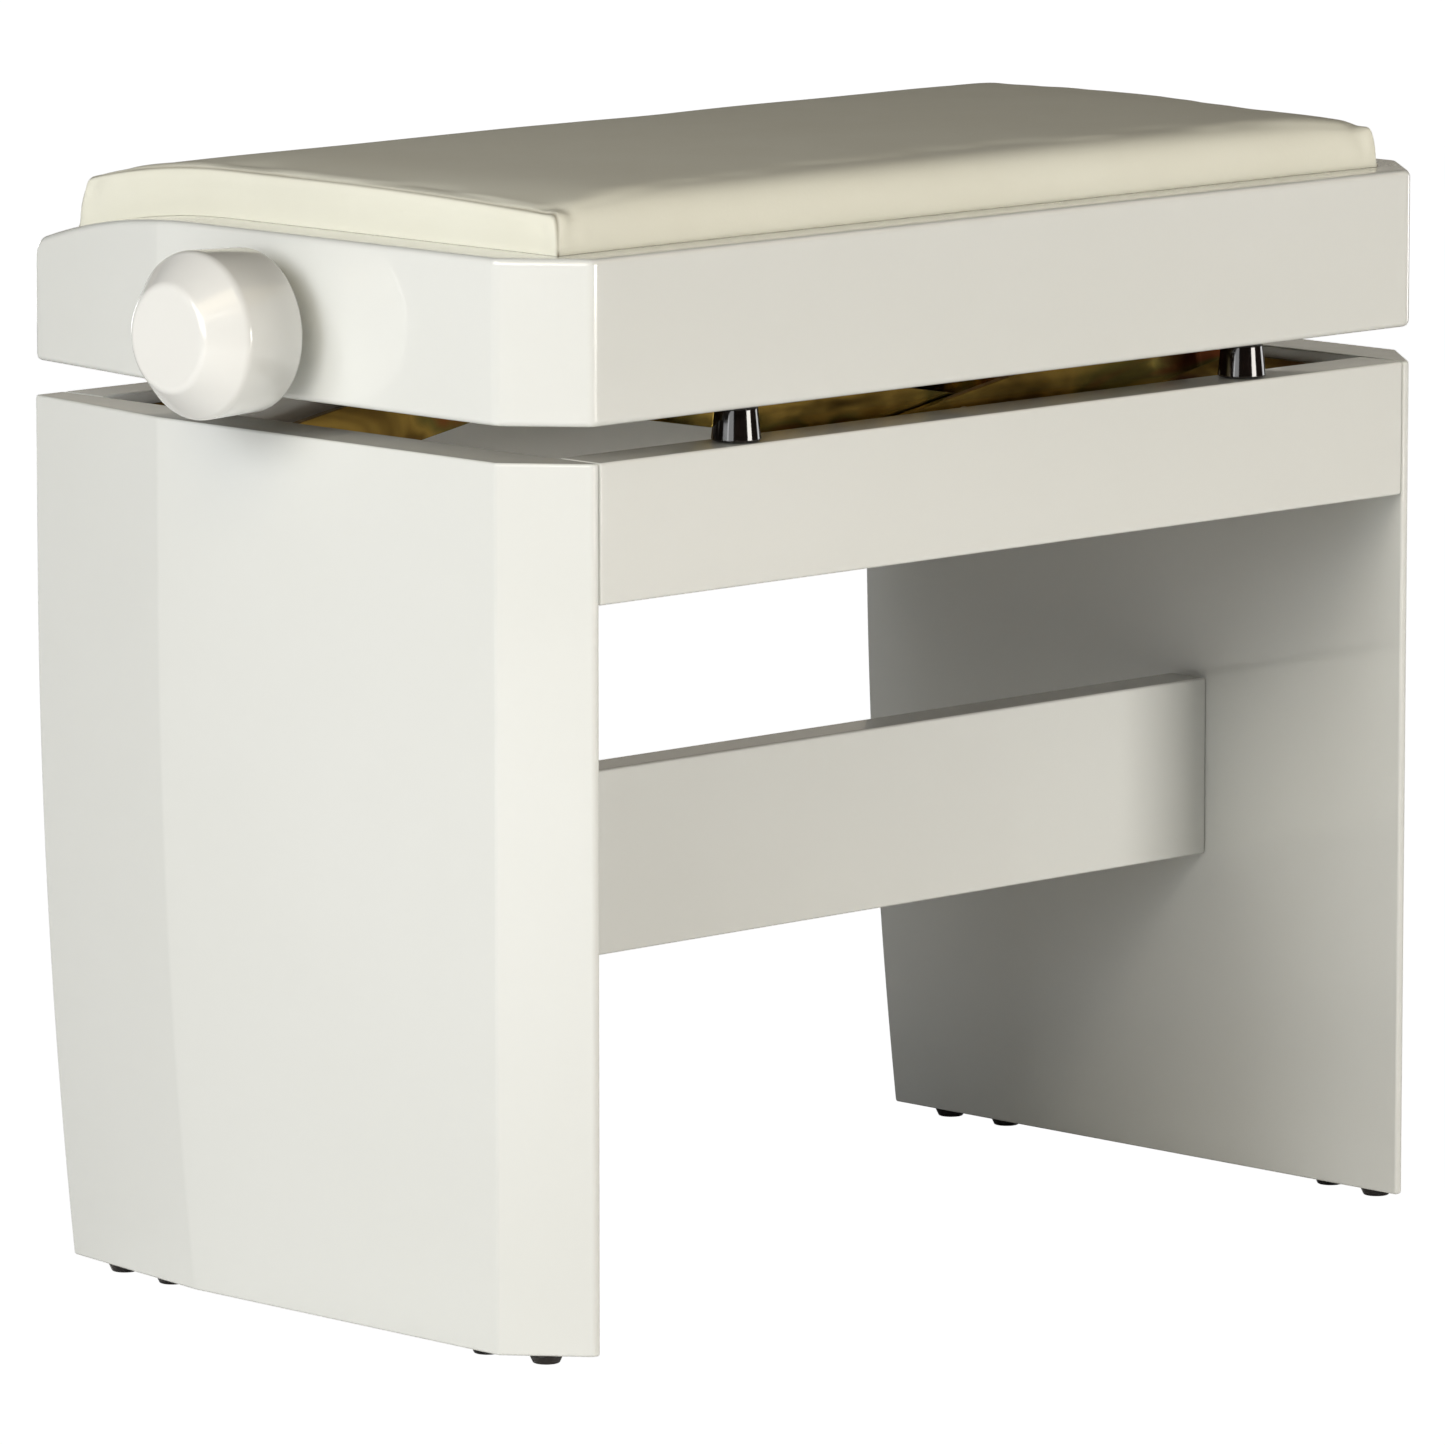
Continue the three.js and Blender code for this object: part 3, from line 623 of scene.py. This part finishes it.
def screw_head(direction, seat, radius=4 * MM, height=2.6 * MM, shank=14 * MM):
    """A pan-head screw with a cross recess. It faces along direction, and its head rests on seat."""
    bm = bmesh.new()
    segments, gap = 48, 0.3 * MM
    slot_half, slot_reach, slot_depth = 0.42 * MM, 2.3 * MM, 1.1 * MM
    side = direction.orthogonal().normalized()
    other = direction.cross(side)
    outline = [(0, -shank), (2 * MM, -shank + 2 * MM), (2 * MM, gap), (radius - 0.2 * MM, gap),
               (radius, gap + 0.2 * MM)]
    outline += [(radius * math.cos(a) ** 0.6, gap + height * math.sin(a) ** 0.9)
                for a in [math.pi / 2 * i / 14 for i in range(2, 14)]]
    outline.append((0, gap + height))

    def place(r, along, angle):
        u, v = r * math.cos(angle), r * math.sin(angle)
        on_dome = along > gap + height * 0.3
        if on_dome and min(abs(u), abs(v)) < slot_half and r < slot_reach:
            along -= slot_depth
        return seat + direction * along + side * u + other * v

    rings = [[bm.verts.new(place(r, along, 2 * math.pi * i / segments))
              for i in range(1 if r == 0 else segments)] for r, along in outline]
    for low, high in zip(rings, rings[1:]):
        for i in range(segments):
            j = (i + 1) % segments
            corners = [low[i % len(low)], low[j % len(low)], high[j % len(high)], high[i % len(high)]]
            bm.faces.new(list(dict.fromkeys(corners)))
    return bm


def screws():
    for name in sorted(n for n in frame["nodes"] if "_screw_" in n):
        low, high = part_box(name)
        middle, size = (low + high) / 2, high - low
        axis = 0 if size.x > size.y else 1
        direction = Vector((0, 0, 0))
        direction[axis] = -1 if middle[axis] > 0 else 1
        seat = middle.copy()
        outer = high[axis] if direction[axis] > 0 else low[axis]
        seat[axis] = outer - direction[axis] * 2.9 * MM
        piece(f"{name}_pan_head", screw_head(direction, seat), "yellow_zinc", body_of(name), [name],
              sharp=50, weigh=False)


def mechanism():
    plates = [n for n in frame["nodes"] if n.startswith(("base_bracket_", "seat_bracket_", "arm_", "drive_"))
              and "_screw_" not in n and n != "drive_nut"]
    for name in sorted(plates):
        refined(name, "yellow_zinc")
    refined("seat_panel", "plywood", radius=0.8 * MM)
    spindle()
    bearings()
    rods()
    screws()


# ---- Cushion ----
CUSHION_GAP = 0.03 * MM       # to the frame under it
CUSHION_X = 245.5 * MM        # half its length, from its own middle
CUSHION_MIDDLE_X = -3 * MM
CUSHION_FRONT = -147.5 * MM
CUSHION_REAR = 145.5 * MM
END_H = 20.5 * MM             # height of the end panels in their middle
END_FALL = (-3.8 * MM, 0.6 * MM)      # and what they lose towards their front and rear corners
CROWN_H = 22.4 * MM           # the middle, before the filling swells it
CROWN_FALL = (0.3 * MM, -3.4 * MM)
ROLL_X = 50 * MM              # over which the crown rises from an end
END_ROLL = 14 * MM            # over which the top rolls down to a long side: at an end
LONG_ROLL = 20 * MM           # and in the middle
SQUARE_END = 6.0              # power of the superellipse of that roll: at an end
SQUARE_LONG = 3.0             # and in the middle
LONG_PULL = 1.2 * MM          # how far the long sides draw in between the ends
TUCK = 0.25 * MM              # how far the cover turns in under the cushion
TUCK_H = 1.2 * MM
TUCK_REACH = 12 * MM
SEAM_DEPTH = 1.5 * MM
SEAM_HALF = 0.6 * MM
SHADE_HALF = 0.8 * MM         # half width of the painted shade line in the seam
PUFF_MIDDLE = 4.5 * MM        # where the leather beside a seam stands highest
PUFF_HALF = 3.2 * MM
PUFF_REACH = 16 * MM          # and where it ends
EAR = 1.6 * MM                # how far the sewn corners stand up
EAR_REACH = 4 * MM
DENT = 0.6 * MM               # and how deep the leather dips behind them
DENT_MIDDLE = 11 * MM
DENT_HALF = 4 * MM
WAVE = 0.35 * MM              # unevenness of the leather all over
CORNER_PULL = 2.6 * MM        # how far the corners lean in at their top
CORNER_REACH = 11 * MM
SWELL_CAP = 1.6 * MM          # the filling never pushes the cover further than this
SWELL_START = 9 * MM          # height at which it pushes fully
HELD_H = 2.5 * MM             # the cloth is held below this


def ease(t):
    return math.sin(min(1.0, max(0.0, t)) * math.pi / 2)


def bell(distance, half_width):
    return math.exp(-(distance / half_width) ** 2)


def bunched(count):
    """0 to 1 in steps that are finest at both ends."""
    return [(1 - math.cos(math.pi * i / count)) / 2 for i in range(count + 1)]


SIDE_STEPS = bunched(20)
TOP_STEPS = bunched(64)


def crest(x, y):
    """Height of the cushion's top, before its long sides roll down."""
    middle_y = (CUSHION_FRONT + CUSHION_REAR) / 2
    across = (y - middle_y) / (CUSHION_REAR - middle_y)
    end = END_H + END_FALL[across > 0] * across ** 2
    middle = CROWN_H + CROWN_FALL[across > 0] * across ** 2
    return end + (middle - end) * ease((CUSHION_X - abs(x)) / ROLL_X)


def cushion_section(x, sides, tops):
    """The cover's line at x: up the front side, over the top and down the rear side."""
    inner = ease((CUSHION_X - abs(x)) / ROLL_X)
    roll = END_ROLL + (LONG_ROLL - END_ROLL) * inner
    power = 1 / (1 / SQUARE_END + (1 / SQUARE_LONG - 1 / SQUARE_END) * inner)
    corner = 0.5 ** (1 / power)
    pull = LONG_PULL * inner

    def side(rise, edge, inward):
        y = edge + inward * (pull + roll * (1 - (1 - rise ** power) ** (1 / power)))
        return Vector((x, y, crest(x, y) * rise))

    front = [side(corner * t, CUSHION_FRONT, 1) for t in sides]
    rear = [side(corner * t, CUSHION_REAR, -1) for t in reversed(sides)]
    start, end = front[-1].y, rear[0].y
    top = []
    for t in tops[1:-1]:
        y = start + (end - start) * t
        inset = min(y - CUSHION_FRONT, CUSHION_REAR - y) - pull
        rise = (1 - max(0.0, 1 - inset / roll) ** power) ** (1 / power)
        top.append(Vector((x, y, crest(x, y) * rise)))
    return front + top + rear


def patch(border_low, border_high, border_start, border_end):
    """A Coons patch between four borders: rows of points from low to high."""
    rows = []
    n, m = len(border_low) - 1, len(border_start) - 1
    for j in range(m + 1):
        v = j / m
        row = []
        for i in range(n + 1):
            u = i / n
            ruled = border_low[i].lerp(border_high[i], v) + border_start[j].lerp(border_end[j], u)
            corners = (border_low[0].lerp(border_low[n], u)).lerp(border_high[0].lerp(border_high[n], u), v)
            row.append(ruled - corners)
        rows.append(row)
    return rows


def cushion_cover():
    """The cover as one closed mesh: a top sheet over both long sides, two end panels, and the base."""
    sides, tops = SIDE_STEPS, TOP_STEPS
    from_end = [0, 0.2, 0.45, 0.8, 1.3, 2, 3, 4.2, 5.8, 8, 11, 14.8, 19, 24, 30, 37, 44, 51.5]
    xs = [-CUSHION_X + d * MM for d in from_end]
    inner = 50
    reach = xs[-1]
    xs += [reach - 2 * reach * i / inner for i in range(1, inner)]
    xs += [-x for x in reversed(xs[:len(from_end)])]
    sections = [cushion_section(x, sides, tops) for x in xs]
    bm = bmesh.new()

    def skin(rows):
        grid = [[bm.verts.new(p) for p in row] for row in rows]
        for low, high in zip(grid, grid[1:]):
            for i in range(len(low) - 1):
                bm.faces.new((low[i], low[i + 1], high[i + 1], high[i]))

    skin(sections)
    count = len(sides) - 1
    for line in (sections[0], sections[-1]):
        front, top = line[:count + 1], line[count:-count]
        rear = line[-count - 1:][::-1]
        base = [front[0].lerp(rear[0], (p.y - top[0].y) / (top[-1].y - top[0].y)) for p in top]
        skin(patch(base, top, front, rear))
    fronts = [line[0] for line in sections]
    rears = [line[-1] for line in sections]
    skin([[f.lerp(r, t) for t in tops] for f, r in zip(fronts, rears)])
    bmesh.ops.remove_doubles(bm, verts=bm.verts, dist=0.02 * MM)
    bmesh.ops.recalc_face_normals(bm, faces=bm.faces)
    return bm


def swell(bm):
    """Inflates a coarse copy of the cover as cloth, and pushes the cover out as far as the copy went."""
    mesh = bpy.data.meshes.new("filling")
    bm.to_mesh(mesh)
    filling = bpy.data.objects.new("filling", mesh)
    scene.collection.objects.link(filling)
    remesh = filling.modifiers.new("Remesh", "REMESH")
    remesh.mode = "VOXEL"
    remesh.voxel_size = 5 * MM
    bake(filling)
    before = [v.co.copy() for v in filling.data.vertices]
    held = filling.vertex_groups.new(name="held")
    held.add([i for i, p in enumerate(before) if p.z < HELD_H], 1.0, "REPLACE")
    cloth = filling.modifiers.new("Cloth", "CLOTH").settings
    cloth.quality = 6
    cloth.mass = 0.15
    cloth.vertex_group_mass = "held"
    cloth.use_pressure = True
    cloth.uniform_pressure_force = 4
    cloth.effector_weights.gravity = 0
    cloth.tension_stiffness = 20
    cloth.compression_stiffness = 20
    cloth.bending_stiffness = 2
    cloth.shrink_min = -0.03        # the leather gives a little, so the sides bulge
    for number in range(1, 21):
        scene.frame_set(number)
    bake(filling)
    after = [v.co.copy() for v in filling.data.vertices]
    scene.frame_set(1)
    bpy.data.objects.remove(filling)
    tree = kdtree.KDTree(len(before))
    for i, p in enumerate(before):
        tree.insert(p, i)
    tree.balance()
    bm.normal_update()
    normals = [v.normal.copy() for v in bm.verts]
    for v, normal in zip(bm.verts, normals):
        near = tree.find_n(v.co, 8)
        weights = [1 / (distance + 1 * MM) ** 2 for _, _, distance in near]
        move = sum(((after[i] - before[i]) * w for (_, i, _), w in zip(near, weights)), Vector())
        move /= sum(weights)
        push = max(0.0, move.dot(normal))
        push *= SWELL_CAP / (SWELL_CAP + push)
        v.co += normal * push * smooth_step(v.co.z / SWELL_START)


def smooth_step(t):
    t = min(1.0, max(0.0, t))
    return t * t * (3 - 2 * t)


def seam_distance(p):
    """How far a point of the flat-sided cover lies from the end panels' sewn edge."""
    to_end = CUSHION_X - abs(p.x)
    if to_end > 0.05 * MM:
        return to_end
    line = cushion_section(CUSHION_X, SIDE_STEPS, TOP_STEPS)
    best = 1.0
    for a, b in zip(line, line[1:]):
        dy, dz = b.y - a.y, b.z - a.z
        t = min(1.0, max(0.0, ((p.y - a.y) * dy + (p.z - a.z) * dz) / (dy * dy + dz * dz)))
        best = min(best, math.hypot(p.y - a.y - dy * t, p.z - a.z - dz * t))
    return best


def sew(bm, flat, distances):
    """Draws the end panels' seams in, paints shade along them, puffs the leather beside them, and pinches
    the corners.
    """
    bm.normal_update()
    normals = [v.normal.copy() for v in bm.verts]
    # The seam layer holds painted shade: how strongly the leather is darkened along each seam groove.
    seam_shade = bm.verts.layers.float.new("seam")
    for v, rest, d, normal in zip(bm.verts, flat, distances, normals):
        v[seam_shade] = 0.85 * bell(d, SHADE_HALF)
        held = smooth_step((rest.z - 0.5 * MM) / (3 * MM))
        if d < PUFF_REACH:
            pucker = 0.5 + 0.5 * noise.noise(Vector((rest.x * 70, rest.y * 130, rest.z * 130)))
            depth = SEAM_DEPTH * bell(d, SEAM_HALF)
            puff = (0.45 + 0.3 * pucker) * MM * bell(d - PUFF_MIDDLE, PUFF_HALF)
            v.co += normal * (puff - depth) * held
        for y in (CUSHION_FRONT, CUSHION_REAR):
            corner = Vector((math.copysign(CUSHION_X, rest.x), y, crest(CUSHION_X, y)))
            away = (rest - corner).length
            ear = EAR * bell(away, EAR_REACH)
            dent = DENT * bell(away - DENT_MIDDLE, DENT_HALF) * smooth_step(d / DENT_HALF)
            v.co += Vector((0, 0, ear)) + normal * (ear * 0.3 - dent)
        to_side = min(rest.y - CUSHION_FRONT, CUSHION_REAR - rest.y)
        nearness = bell(math.hypot(CUSHION_X - abs(rest.x), to_side), CORNER_REACH)
        pull = CORNER_PULL * nearness * (rest.z / END_H) ** 2
        v.co -= Vector((math.copysign(pull, rest.x), math.copysign(pull, rest.y), 0))
        wave = noise.noise(rest * 14 + Vector((3.1, 0.7, 5.2)))
        v.co += normal * wave * WAVE * held


def cushion():
    bm = cushion_cover()
    flat = [v.co.copy() for v in bm.verts]
    distances = [seam_distance(p) for p in flat]
    swell(bm)
    sew(bm, flat, distances)
    for v, rest in zip(bm.verts, flat):
        low = max(0.0, 1 - rest.z / TUCK_H)
        tuck = TUCK * (1 - math.sqrt(1 - min(0.998, low ** 2)))
        past_long = max(CUSHION_FRONT - rest.y, rest.y - CUSHION_REAR)
        near_end = smooth_step((abs(rest.x) - CUSHION_X + TUCK_REACH) / TUCK_REACH)
        near_long = smooth_step((past_long + TUCK_REACH) / TUCK_REACH)
        v.co.x -= math.copysign(tuck * near_end, rest.x)
        v.co.y -= math.copysign(tuck * near_long, rest.y)
        v.co.x += CUSHION_MIDDLE_X
        v.co.z = max(v.co.z, 0) + seat_top(v.co.y) + CUSHION_GAP
    pad = piece("seat_cushion_cover", bm, "cream_leatherette", "seat", ["seat_cushion"],
                sharp=180, weigh=False)
    smooth = pad.modifiers.new("Smooth", "SUBSURF")
    smooth.levels = smooth.render_levels = 1


# ---- Stage ----
def camera():
    """A long lens, a little above the seat, square to neither side of the bench."""
    data = bpy.data.cameras.new("camera")
    data.lens = 282.09
    data.sensor_width = 36
    data.clip_start, data.clip_end = 0.1, 60
    obj = bpy.data.objects.new("camera", data)
    obj.location = (-3.3826, -3.4331, 0.971)
    obj.rotation_euler = (math.radians(90 - 8.837), 0, math.radians(-44.485))
    scene.collection.objects.link(obj)
    scene.camera = obj


def area_light(name, azimuth, height, away, size, power, colour=(1, 1, 1)):
    """A soft box at a distance from the bench, facing it."""
    data = bpy.data.lights.new(name, "AREA")
    data.shape = "RECTANGLE"
    data.size, data.size_y = size
    data.energy = power
    data.color = colour
    obj = bpy.data.objects.new(name, data)
    angle = math.radians(azimuth)
    obj.location = (away * math.cos(angle), away * math.sin(angle), height)
    obj.rotation_euler = (Vector((0, 0, 0.3)) - obj.location).to_track_quat("-Z", "Y").to_euler()
    scene.collection.objects.link(obj)


def plane(name, colour, glow, seen):
    """A large level card that only the named kinds of ray meet."""
    bm = bmesh.new()
    bmesh.ops.create_grid(bm, x_segments=1, y_segments=1, size=30)
    mesh = bpy.data.meshes.new(name)
    bm.to_mesh(mesh)
    bm.free()
    obj = bpy.data.objects.new(name, mesh)
    scene.collection.objects.link(obj)
    mat = material(name, 0.7)
    shader = mat.node_tree.nodes["Principled BSDF"]
    shader.inputs["Base Color"].default_value = colour
    shader.inputs["Emission Color"].default_value = colour
    shader.inputs["Emission Strength"].default_value = glow
    mesh.materials.append(mat)
    for ray in ("camera", "diffuse", "glossy", "transmission", "shadow"):
        setattr(obj, f"visible_{ray}", ray in seen)
    return obj


def studio():
    """Soft boxes low round the bench, on a white floor that is lit from within for the camera
    and is plain pale card for everything else."""
    pale = (0.9, 0.9, 0.89, 1)
    plane("floor", pale, 0.0, ("diffuse", "glossy", "transmission", "shadow"))
    plane("white_floor", (1, 1, 1, 1), 1.0, ("camera",))
    backdrop = plane("backdrop", (1.0, 0.955, 0.85, 1), 0.21, ("glossy",))
    backdrop.scale = (0.12, 0.045, 1)
    backdrop.location = (4.5, 4.5, 1.4)
    backdrop.rotation_euler = (math.radians(90), 0, math.radians(-45))
    warm, cool, amber = (1.0, 0.955, 0.897), (0.98, 0.987, 1.0), (1.0, 0.845, 0.57)
    area_light("front", 288, 0.46, 3.0, (1.1, 0.7), 41.5, warm)
    area_light("left", 180, 1.0, 2.2, (1.1, 1.1), 18.7, cool)
    area_light("left_front", 201, 0.95, 2.2, (1.1, 1.1), 14.6, cool)
    area_light("left_high", 200, 2.1, 2.4, (1.3, 1.3), 7, amber)
    area_light("corner_high", 215, 2.1, 2.4, (1.3, 1.3), 6, amber)
    area_light("right_high", 320, 2.1, 2.4, (1.3, 1.3), 4, amber)
    area_light("back", 72, 0.3, 3.0, (1.0, 0.5), 7)
    area_light("right", 350, 0.3, 3.0, (1.0, 0.5), 6)
    sky = bpy.data.worlds.new("studio")
    scene.world = sky
    sky.use_nodes = True
    sky.node_tree.nodes["Background"].inputs["Color"].default_value = (1, 1, 1, 1)
    sky.node_tree.nodes["Background"].inputs["Strength"].default_value = 0.02
    scene.view_settings.view_transform = "Standard"


camera()
side_panels()
aprons_and_stretcher()
seat_frame()
glides_and_buffers()
knobs()
mechanism()
cushion()
studio()
